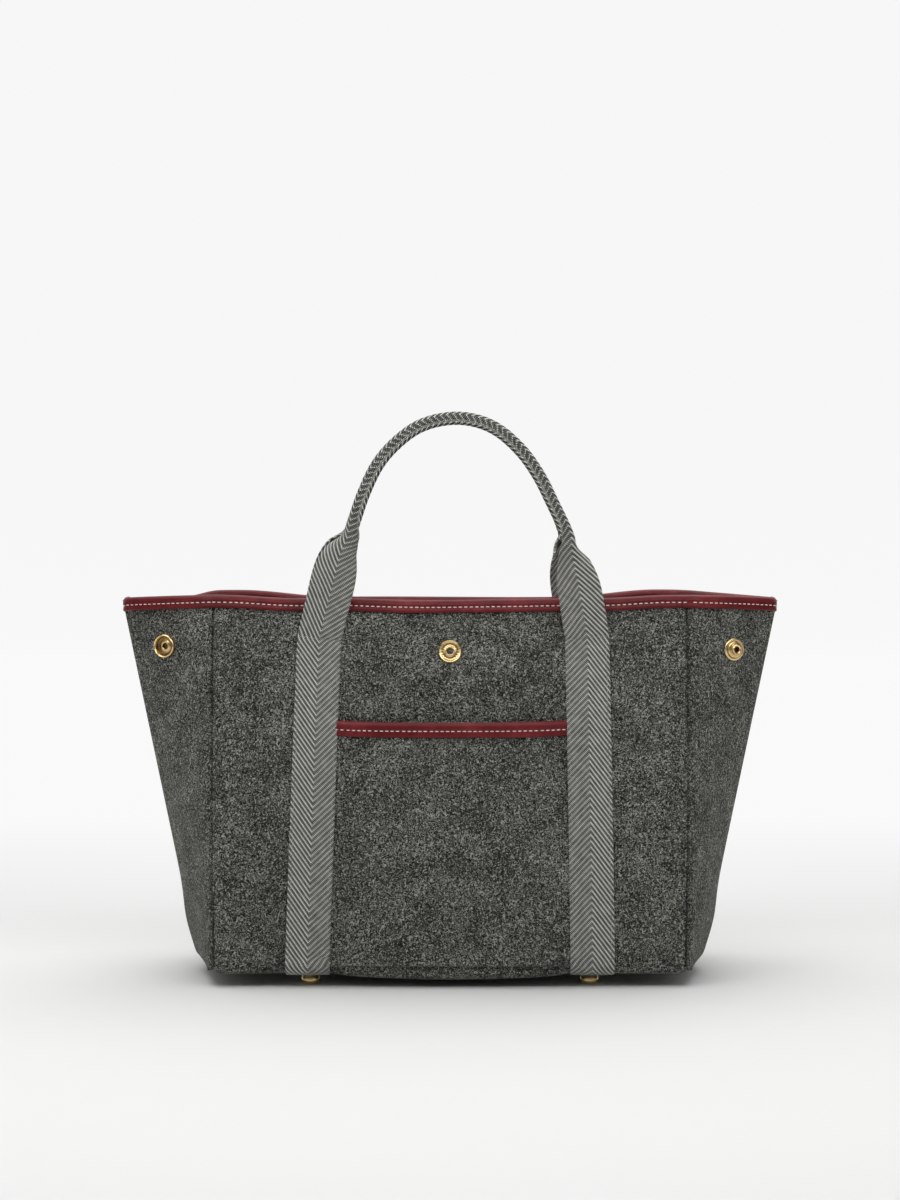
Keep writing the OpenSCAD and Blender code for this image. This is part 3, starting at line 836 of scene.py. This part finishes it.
def strap_lift(x, z, side):
    """How far the webbing's back lies off the wall: the front straps ride over the pocket's edge."""
    if side > 0:
        return 0.2 + 0 * x
    over = smooth((pocket_half + 2 - np.abs(x)) / 4) * smooth((pocket_top + 4 - z) / 6)
    return 0.2 + (pocket_wool + 0.4) * over * smooth((z - 9) / 7)


def strap_line(hand, side, top_x):
    """Middle line of one strap from the middle of the base to the bar of stitches, as (x, y, z)."""
    under_z, turn_r, top_z = 7.5, 7.0, 17.0
    low_y = float(wall_y(16.0)) + 1.4
    rows = [(hand * strap_x, y * side, under_z) for y in np.linspace(0, low_y - turn_r - 2, 20)]
    for angle in np.linspace(85, 5, 9):
        a = math.radians(angle)
        rows.append((hand * strap_x, side * (low_y - turn_r * (1 - math.cos(a))),
                     under_z + turn_r * (1 - math.sin(a))))
    for z in np.linspace(top_z, bar_z, 40):
        x = hand * (strap_x + (top_x - strap_x) * (z - top_z) / (bar_z - top_z))
        y = float(wall_y(z) + wall_push(x, z, side) + strap_lift(x, z, side) + web_t / 2)
        rows.append((x, side * y, z))
    return np.array(rows)


def handle_y(z, side):
    return side * (float(wall_y(bar_z)) + 1.0 + 0.052 * (z - bar_z))


class Webbing:
    """One face's whole length. grip lists (x, z) of its middle line above the two bars. roll goes from 0
    where the webbing is flat to 1 where it wraps the cord, and turn from 0 to 1 as its seam comes round."""

    def __init__(self, side, grip):
        legs = catmull([(x, handle_y(z, side), z) for x, z in grip])
        left = strap_line(-1, side, -grip[0][0])
        right = strap_line(1, side, grip[-1][0])[::-1]
        path = even(np.vstack([left[:-1], legs, right[1:]]), 0.66)
        for _ in range(6):
            path[1:-1] = (path[:-2] + 2 * path[1:-1] + path[2:]) / 4
        self.side, self.path, self.at = side, path, lengths(path)
        self.ahead = unit(np.gradient(path, axis=0))
        high = path[:, 2]
        reach = high + right_early * (path[:, 0] > 0)
        self.roll = np.clip((reach - roll_from) / (roll_to - roll_from), 0, 1) ** 2.1
        self.turn = smooth((reach - turn_from) / (turn_to - turn_from))
        face = np.where((high < 16)[:, None], np.array([0, side, -1.0]), np.array([0, side, 0.0]))
        front = unit(face - self.ahead * np.sum(face * self.ahead, axis=1, keepdims=True))
        for _ in range(10):
            front[1:-1] = unit(front[:-2] + 2 * front[1:-1] + front[2:])
        self.front = unit(front - self.ahead * np.sum(front * self.ahead, axis=1, keepdims=True))
        across = np.cross(self.ahead, self.front)
        self.across = across if across[len(across) // 2][2] > 0 else -across

    def surface(self, u, lift=0.0):
        """Points lift mm above the webbing's middle layer, a row a station. u runs from edge to edge."""
        high = self.path[:, 2][:, None]
        spread = 0.02 + (math.pi - 0.02) * self.roll
        facing = face_turn * self.turn
        half = web_half + (grip_mid_r * math.pi - web_half) * self.roll
        rho = (half / spread)[:, None]
        angle = facing[:, None] + np.outer(spread, u)
        hub = (self.roll * grip_mid_r)[:, None]
        n = rho * (np.cos(angle) - np.cos(facing)[:, None]) + hub * np.cos(facing)[:, None]
        w = rho * (np.sin(angle) - np.sin(facing)[:, None]) + hub * np.sin(facing)[:, None]
        x = self.path[:, 0][:, None]
        x_here = x + w * self.across[:, 0][:, None]
        rise = strap_lift(x_here, high, self.side) - strap_lift(x, high, self.side)
        rise = rise + wall_push(x_here, high, self.side) - wall_push(x, high, self.side)
        n = n + rise * smooth((bar_z + 8 - high) / 8) * smooth((high - 9) / 6)
        lift = lift - bar_dent * np.exp(-(((high - bar_z) / 1.2) ** 2))
        n, w = n + lift * np.cos(angle), w + lift * np.sin(angle)
        return (self.path[:, None] + n[..., None] * self.front[:, None]
                + w[..., None] * self.across[:, None])

    def sheets(self):
        """Outer and inner faces with the ribs raised, their cloth coordinates in metres, and each vertex's
        painted
        light: above 0 a painted highlight along the selvedges, below 0 painted shade on the rolled grip."""
        u = np.linspace(-1, 1, 45)
        half = web_half + (grip_mid_r * math.pi - web_half) * self.roll
        wide = (u[None] + 0.65 * self.turn[:, None]) * half[:, None]
        # Painted light on the grip, where its seam has come round: a painted highlight along both
        # selvedges, and painted shade over the rest, deepest on the half towards u = 1.
        painted_highlight_and_shade = 1.3 * smooth((np.abs(u) - 0.9) / 0.06) - 0.3 - 0.45 * smooth((u - 0.3) / 0.3)
        pale = painted_highlight_and_shade[None] * self.turn[:, None]
        slope = np.where(wide > 0, slope_out, slope_in)
        phase = (self.at[:, None] - np.abs(wide) * slope) / rib_pitch
        wave = np.abs(phase - np.round(phase)) * 2
        edge = smooth((1 - np.abs(u)) / 0.06)[None]
        half_t = (web_t / 2 - 0.1 * self.turn[:, None]) * (0.35 + 0.65 * edge)
        outer = self.surface(u, half_t + rib_rise * smooth((wave - 0.12) / 0.4) * edge)
        inner = self.surface(u, -half_t)
        return outer, inner, np.stack([wide, self.at[:, None] + 0 * wide], -1) * MM, pale


front_grip = [(-73.9, 195.5), (-70.5, 210), (-66.3, 226), (-62.9, 240), (-59.6, 249), (-55.5, 257.5),
              (-48.8, 277), (-40.5, 294), (-29.5, 306.5), (-16.5, 315.5), (-1, 319.5), (13.5, 318.6),
              (27, 313), (40, 301.5), (50, 287.5), (58.3, 271), (65.4, 256), (68.4, 246), (70.9, 233.5),
              (74.1, 218), (77.6, 195.5)]
back_grip = [(-75.5, 195.5), (-73, 210), (-69.5, 226), (-66.3, 238), (-62.5, 247), (-58.3, 255.5),
             (-51.2, 275.3), (-42.5, 293), (-31, 306), (-17.3, 315.6), (-1, 319.9), (14.2, 318.9),
             (28.4, 313), (42, 301), (52.5, 286.5), (61.2, 269), (67, 254.5), (68.6, 244), (69.8, 233),
             (72.5, 217), (76.5, 195.5)]


cotton_cord = flecked_material("cotton_cord", (700, 2.0, 0.6), (0.3, (0.36, 0.34, 0.29)),
                               (0.7, (0.6, 0.57, 0.5)), (0.75, 0.2), 0.0004, Sheen_Weight=0.1,
                               Specular_IOR_Level=0.25)
grey_thread = flecked_material("grey_thread", (1500, 2.0, 0.6), (0.3, (0.16, 0.16, 0.145)),
                               (0.7, (0.4, 0.4, 0.37)), (0.6, 0.2), 0.0001, Specular_IOR_Level=0.3)
seam_z = 14.0                     # the base's length of webbing meets the strap here
cord_r = 1.9
for side, wall, grip in ((-1, "front", front_grip), (1, "back", back_grip)):
    web = Webbing(side, grip)
    # pale holds each vertex's painted highlight and painted shade.
    outer, inner, cloth, pale = web.sheets()
    high = web.path[:, 2]
    first = int(np.argmax(high > seam_z))
    last = len(high) - 1 - int(np.argmax(high[::-1] > seam_z))
    piece = sheet_between(wall + "_webbing", outer[first:last + 1], inner[first:last + 1], webbing,
                          cloth[first:last + 1], pale[first:last + 1])
    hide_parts(wall + "_left_strap", wall + "_right_strap", wall + "_handle_webbing")
    bend = {"start": (0, side * 37 * MM, 0.1935), "end": (0, side * 37.6 * MM, 0.2045)}
    wall + "_handle"
    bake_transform(piece)
    for word, part in (("left", slice(0, first + 1)), ("right", slice(last, len(high)))):
        under = sheet_between(f"{word}_{wall}_base_webbing", outer[part], inner[part], webbing, cloth[part],
                              pale[part])
        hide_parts(word + "_base_strap")
        side * 54 * MM
        side * 62 * MM
        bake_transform(under)

    turns = np.linspace(0, 2 * math.pi, 12, endpoint=False)
    ring = [(cord_r * math.cos(a), cord_r * math.sin(a)) for a in turns]
    inside = np.where(web.roll > 0.72)[0][::3]
    core = swept(wall + "_cord", [(web.path[i], web.front[i], web.across[i]) for i in inside],
                 [ring] * len(inside), cotton_cord)
    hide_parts(wall + "_handle_core")
    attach(core, wall + "_handle")

    # Stitches: one bar across each strap, and a row along both edges of the sewn length.
    edge_u, pitch, seam_clear = 0.86, 3.0, 2.0
    spots, alongs, outs = [], [], []
    u = np.array([-edge_u, edge_u])
    lines = web.surface(u, web_t / 2 + 0.2)
    marks_at = np.arange(0, web.at[-1], pitch)
    sewn = np.interp(marks_at, web.at, high)
    marks_at = marks_at[(sewn > seam_z + seam_clear) & (sewn < bar_z - seam_clear)]
    for k in (0, 1):
        for axis, source in ((spots, lines[:, k]), (alongs, web.ahead), (outs, web.front)):
            axis.append(np.stack([np.interp(marks_at, web.at, source[:, c]) for c in range(3)], -1))
    across_u = np.linspace(-0.88, 0.88, 9)
    bars = web.surface(across_u, web_t / 2 + 0.25)
    left_half = np.arange(len(high)) < len(high) // 2
    for half_mask in (left_half, ~left_half):
        i = int(np.argmin(np.abs(high - bar_z) + 1e3 * ~half_mask))
        spots.append(bars[i])
        alongs.append(np.repeat(web.across[i][None], len(across_u), 0))
        outs.append(np.repeat(web.front[i][None], len(across_u), 0))
    rows = stitch_row(wall + "_strap_stitches", np.vstack(spots), np.vstack(alongs), np.vstack(outs),
                      grey_thread, length=1.9, radius=0.26)
    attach(rows, wall)

# ---- Snap fasteners ----
# Pale gold two-part snaps: a dished cap riveted through the cloth, and on the other face of the cloth a
# stud or a rolled-rim socket. One pair meets inside at the middle, two pairs sit outside on the gussets.

cloth_t = wool_t + lining_t
cap_profile = [(1.6, -cloth_t), (1.6, 0.5), (1.9, 1.05), (2.4, 1.25), (2.9, 1.1), (3.4, 0.75), (4.4, 0.72),
               (5.2, 0.95), (5.7, 1.3), (6.1, 1.4), (6.5, 1.1), (6.65, 0.6), (6.5, 0.1), (2.1, 0.05),
               (2.1, -cloth_t)]
stud_profile = [(0.0, 0.8), (1.5, 0.8), (1.6, 3.0), (1.9, 3.5), (2.5, 3.7), (3.0, 3.3), (3.05, 2.2),
                (3.6, 1.9), (4.3, 1.9), (4.7, 1.5), (4.8, 0.9), (5.4, 1.2), (6.0, 1.1), (6.35, 0.6),
                (6.1, 0.1), (0.0, 0.05)]
socket_profile = [(0.0, 0.3), (1.5, 0.3), (1.55, 1.4), (1.9, 1.8), (2.6, 1.8), (3.2, 1.35), (4.2, 1.0),
                  (5.0, 1.35), (5.35, 2.6), (5.6, 3.3), (6.05, 3.65), (6.5, 3.35), (6.75, 2.6), (6.6, 1.6),
                  (6.1, 0.1), (0.0, 0.05)]
# Painted shade for each ring of the profiles: 1 darkens the gold to brown in the hollows and holes, 0
# leaves it bright.
cap_shades = [1, 1, 0.6, 0.1, 0.1, 0.45, 0.5, 0.25, 0, 0, 0, 0, 0, 0, 0]
socket_shades = [1, 1, 1, 0.1, 0.05, 0.4, 0.8, 1, 0.7, 0.1, 0, 0, 0, 0, 0, 0]
stud_shades = [1, 1, 1, 0.1, 0, 0, 0.2, 0.5, 0.1, 0.1, 0.6, 0.1, 0, 0, 0, 0]


def gold_material():
    material, shader, at = start_material("pale_gold", Metallic=1.0)
    wear = at.noise(500, 3.0, 0.6)
    # Painted shade: the shade attribute darkens the snaps' hollows and the stud's hole to dark brown.
    painted_hollow_shade = at.node("ShaderNodeAttribute", out="Fac", attribute_name="shade")
    bright = wear.ramp([(0.3, (0.72, 0.5, 0.22)), (0.7, (0.9, 0.7, 0.38))])
    plug(shader, Base_Color=(painted_hollow_shade * 0.9).mix(bright, (0.11, 0.05, 0.012, 1)),
         Roughness=0.16 + wear * 0.16, Normal=bump(wear, 0.00003))
    return material


gold = gold_material()


def turned(name, profile, place, axis, beads=0.0, shades=None):
    """A turned metal piece: its profile of (radius, height) goes round the axis at the place. shades says
    how much painted shade each ring of the profile gets in its colour."""
    segments = 72
    axis = unit(np.asarray(axis, float))
    side = unit(np.cross(axis, [0.0, 0.3, 1.0]))
    other = np.cross(axis, side)
    turns = np.linspace(0, 2 * math.pi, segments, endpoint=False)
    verts, rings, shade = [], [], []
    for (r, h), painted_ring_shade in zip(profile, shades or [0.0] * len(profile)):
        shade += [painted_ring_shade] * (1 if r < 1e-6 else segments)
        if r < 1e-6:
            rings.append([len(verts)] * segments)
            verts.append(place + axis * h)
            continue
        lump = beads * (np.cos(18 * turns) > 0.2) * (4.0 < r < 5.4)     # a ring of 18 raised beads
        rings.append(list(range(len(verts), len(verts) + segments)))
        verts += list(place + np.outer(np.cos(turns) * r, side) + np.outer(np.sin(turns) * r, other)
                      + np.outer(h + lump, axis))
    faces = []
    closed = profile[0][0] > 1e-6
    pairs = list(zip(rings, rings[1:])) + ([(rings[-1], rings[0])] if closed else [])
    for low, high in pairs:
        for k in range(segments):
            m = (k + 1) % segments
            faces.append(list(dict.fromkeys([low[k], low[m], high[m], high[k]])))
    return new_object(name, verts, faces, gold, shade=shade)


snap_z, side_snap_x = 188.0, 161.8
snap_tip = 0.4                    # soft cloth lets a side snap tip towards the front or the back
washer_gap = 0.1                  # an inner half stands this far off the lining
for side, body, inner_profile, inner_node in ((-1, "front", stud_profile, "front_snap_stud"),
                                              (1, "back", socket_profile, "back_snap_socket")):
    face, deep = wall_point(0.0, snap_z, 0, side), wall_point(0.0, snap_z, 1.0, side)
    axis = unit(face - deep)
    cap = turned(body + "_middle_cap", cap_profile, face, axis, beads=0.14, shades=cap_shades)
    inner = turned(body + "_middle_" + inner_node.split("_")[-1], inner_profile,
                   face - axis * (cloth_t + washer_gap), -axis)
    for piece, node in ((cap, body + "_snap_post"), (inner, inner_node)):
        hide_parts(node)
        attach(piece, body)
for hand, word, side, wall in halves:
    kind = "socket" if hand * side > 0 else "stud"
    side_snap_z = snap_z + 2 if kind == "socket" else snap_z
    places = side * np.linspace(0.2, 0.8, 121)
    u = places[np.argmin(np.abs(np.abs(gusset_point(places, side_snap_z, 0.0, hand)[:, 0]) - side_snap_x))]
    face = gusset_point(u, side_snap_z, 0.0, hand)
    along = gusset_point(u + 0.02, side_snap_z, 0.0, hand) - gusset_point(u - 0.02, side_snap_z, 0.0, hand)
    rise = gusset_point(u, side_snap_z + 2, 0.0, hand) - gusset_point(u, side_snap_z - 2, 0.0, hand)
    axis = unit(np.cross(along, rise))
    axis = axis if axis[0] * hand > 0 else -axis
    axis = unit(axis + np.array([0, side * snap_tip, 0]))
    shape, shades = (socket_profile, socket_shades) if kind == "socket" else (stud_profile, stud_shades)
    outer = turned(f"{word}_{wall}_side_{kind}", shape, face + axis * 0.5, axis, shades=shades)
    cap = turned(f"{word}_{wall}_side_cap", cap_profile, face - axis * (cloth_t + 0.15), -axis, beads=0.14)
    for piece, node in ((outer, f"{word}_{wall}_gusset_{kind}"), (cap, f"{word}_{wall}_gusset_post")):
        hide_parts(node)
        blend_gusset(piece, side)

# ---- Feet ----
# Four turned metal feet under the straps, each with a pin up through the base into a washer on the
# board. The washers are hidden under the lining.

foot_x, foot_y = 79.0, 45.0
foot_profile = [(0.0, 0.0), (3.6, 0.0), (4.5, 0.3), (5.1, 1.0), (5.3, 2.0), (5.2, 3.2), (4.7, 4.4),
                (4.1, 5.6), (4.2, 6.6), (1.6, 6.6), (1.6, 11.6), (0.0, 11.6)]
for hand, word, side, wall in halves:
    place = np.array([hand * foot_x, side * foot_y, 0.0])
    foot = turned(f"{wall}_{word}_metal_foot", foot_profile, place, (0, 0, 1))
    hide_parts(f"{wall}_{word}_foot")
    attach(foot, "base")
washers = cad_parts["foot_washers"]
washers.data.materials.clear()
washers.data.materials.append(gold)

# ---- Stage ----
# A pale seamless sweep and broad soft light from above, from the front and from both sides. Far behind
# the bag the paper glows by itself, so that it ends as an even white. Lengths here are in metres.


def stage_material():
    material, shader, at = start_material("sweep_paper", Roughness=0.9, Specular_IOR_Level=0.1)
    back = at.node("ShaderNodeSeparateXYZ", {0: at}, out=1)
    far = at.node("ShaderNodeMapRange", {0: back, 1: 0.12, 2: 0.75}, interpolation_type="SMOOTHSTEP")
    plug(shader, Base_Color=far.mix((0.72, 0.725, 0.715, 1), (0.0, 0.0, 0.0, 1)),
         Emission_Color=far.mix((0.0, 0.0, 0.0, 1), (0.925, 0.925, 0.925, 1)))
    shader.inputs["Emission Strength"].default_value = 1.0
    return material


def sweep():
    """Floor that turns up into a wall far behind the bag."""
    turn_y, turn_r = 2.5, 1.2
    profile = [(-14.0, 0.0), (-1.0, 0.0), (1.0, 0.0), (turn_y, 0.0)]
    profile += [(turn_y + turn_r * math.sin(a), turn_r - turn_r * math.cos(a))
                for a in np.linspace(0, math.pi / 2, 16)[1:]]
    profile.append((turn_y + turn_r, 6.0))
    grid = np.array([[(x, y, z) for y, z in profile] for x in np.linspace(-16, 16, 9)]) / MM
    count, size = grid.shape[:2]
    index = np.arange(count * size).reshape(count, size)
    quads = np.stack([index[:-1, :-1], index[1:, :-1], index[1:, 1:], index[:-1, 1:]], -1).reshape(-1, 4)
    return new_object("sweep", grid.reshape(-1, 3), quads.tolist(), stage_material(), closed=False)


sweep()


def softbox(name, place, aim, size, power):
    light = bpy.data.lights.new(name, "AREA")
    light.shape = "RECTANGLE"
    light.size, light.size_y = size
    light.energy = power
    lamp = bpy.data.objects.new(name, light)
    lamp.location = place
    direction = np.array(aim) - np.array(place)
    flat = math.hypot(direction[0], direction[1])
    lamp.rotation_euler = (math.atan2(flat, -direction[2]), 0,
                           math.atan2(direction[1], direction[0]) - math.pi / 2)
    bpy.context.scene.collection.objects.link(lamp)


softbox("top_light", (-0.1, 0.3, 1.9), (0, 0.05, 0.1), (2.4, 1.5), 31.5)
softbox("front_light", (0, -0.6, 0.8), (0, -0.05, 0.27), (1.3, 0.3), 3.8)
softbox("left_light", (-1.7, -1.4, 1.1), (0, 0, 0.15), (1.0, 1.2), 3)
softbox("right_light", (1.7, -1.4, 1.1), (0, 0, 0.15), (1.0, 1.2), 3)
world = bpy.data.worlds.new("studio")
world.use_nodes = True
world.node_tree.nodes["Background"].inputs["Color"].default_value = (1, 1, 1, 1)
world.node_tree.nodes["Background"].inputs["Strength"].default_value = 0.2
bpy.context.scene.world = world
bpy.context.scene.view_settings.view_transform = "Standard"

camera = bpy.data.cameras.new("camera")
camera.sensor_fit = "HORIZONTAL"
camera.sensor_width = 36
camera.lens = 125.7
camera.clip_end = 50
viewer = bpy.data.objects.new("camera", camera)
viewer.location = (0, -1.8125, 0.312)
viewer.rotation_euler = (math.radians(90 - 3.06), 0, 0)
bpy.context.scene.collection.objects.link(viewer)
bpy.context.scene.camera = viewer
